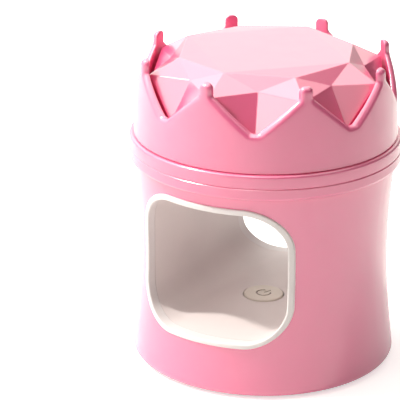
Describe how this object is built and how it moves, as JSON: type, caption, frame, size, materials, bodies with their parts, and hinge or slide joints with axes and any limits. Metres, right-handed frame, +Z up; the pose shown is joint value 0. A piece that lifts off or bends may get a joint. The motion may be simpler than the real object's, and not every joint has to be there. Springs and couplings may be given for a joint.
{
  "type": "mini uv led nail lamp",
  "caption": "Finger-sized nail lamp: a waisted round casing with a tunnel through it, a push button in its floor, and a spiked crown round a faceted cap.",
  "frame": {"origin": "centre of the footprint, on the surface the lamp stands on", "axes": "+Z up; the front opening faces -Y; the charging slot is on the -X side"},
  "size_m": [0.08, 0.08, 0.094],
  "materials": {
    "pink_shell": "satin, moulded pink",
    "pale_pink_cap": "polished facets, pale pink",
    "white_liner": "satin warm white",
    "white_rim": "satin white",
    "button_white": "satin warm white",
    "pink_base": "fine matt pink",
    "rubber_feet": "matt pale grey",
    "steel_screws": "plated",
    "green_board": "solder mask",
    "white_board": "white solder mask",
    "lamp_lens": "clear lens over a yellow base",
    "black_plastic": "moulded black",
    "foam_tape": "soft foam",
    "cell_foil": "laminate foil",
    "wire_insulation": "insulated wire",
    "socket_steel": "nickel plated"
  },
  "bodies": {
    "casing": {"body_shell": "pink_shell", "collar_ring": "pink_shell", "crown_shell": "pink_shell", "gem_cap": "pale_pink_cap", "chamber_liner": "white_liner", "front_bezel": "white_rim", "rear_bezel": "white_rim", "base_plate": "pink_base", "base_screws": "steel_screws", "foot_pads": "rubber_feet", "tact_switch": "black_plastic", "switch_board": "green_board", "switch_board_screws": "steel_screws", "switch_leads": "wire_insulation", "led_board": "white_board", "led_chips": "lamp_lens", "led_board_screws": "steel_screws", "control_components": "black_plastic", "battery_tape": "foam_tape", "battery_cell": "cell_foil", "battery_leads": "wire_insulation", "charge_board": "green_board", "charge_components": "black_plastic", "charge_board_screws": "steel_screws", "charge_leads": "wire_insulation", "usb_socket": "socket_steel", "usb_tongue": "black_plastic"},
    "button": {"power_button": "button_white", "switch_plunger": "black_plastic"}
  },
  "joints": [
    {"name": "button_press", "type": "slide", "parent": "casing", "child": "button", "axis": [0, 0, -1], "range_m": [0, 0.0005], "stiffness_N_per_m": 1500, "springref_m": -0.0005}
  ]
}
